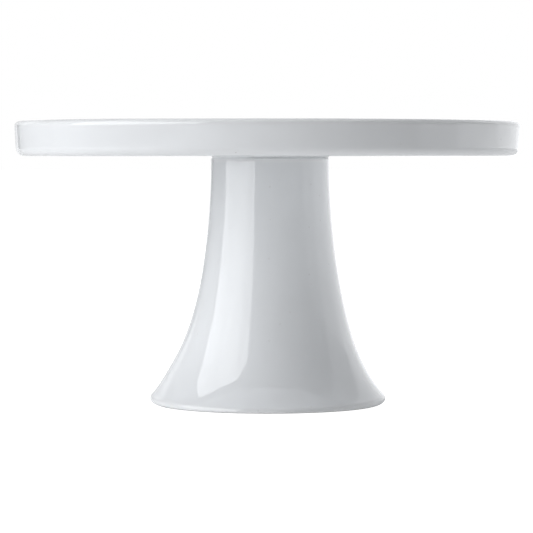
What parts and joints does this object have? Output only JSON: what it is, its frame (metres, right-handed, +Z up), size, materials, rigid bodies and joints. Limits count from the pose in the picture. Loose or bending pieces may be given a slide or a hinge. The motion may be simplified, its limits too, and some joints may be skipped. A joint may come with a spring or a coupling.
{
  "type": "cake stand",
  "caption": "Round footed cake stand: a flat plate with an upright rim on a hollow trumpet-shaped pedestal, in glazed white porcelain.",
  "frame": {"origin": "centre of the ring that the pedestal stands on, at the table's surface", "axes": "+Z up, along the axis that the plate and the pedestal were turned on; X and Y are any two level directions, because the object is round"},
  "size_m": [0.3, 0.3, 0.1685],
  "materials": {
    "porcelain_glaze": "clear glossy glaze over white porcelain, very slightly cool, with a faint waviness and a few pinholes",
    "slip_glaze": "the same glaze, pooled thicker over the bead of slip in the corner, so a little uneven"
  },
  "bodies": {
    "root": {"plate": "porcelain_glaze", "pedestal": "porcelain_glaze", "slip_joint": "slip_glaze"}
  },
  "joints": []
}
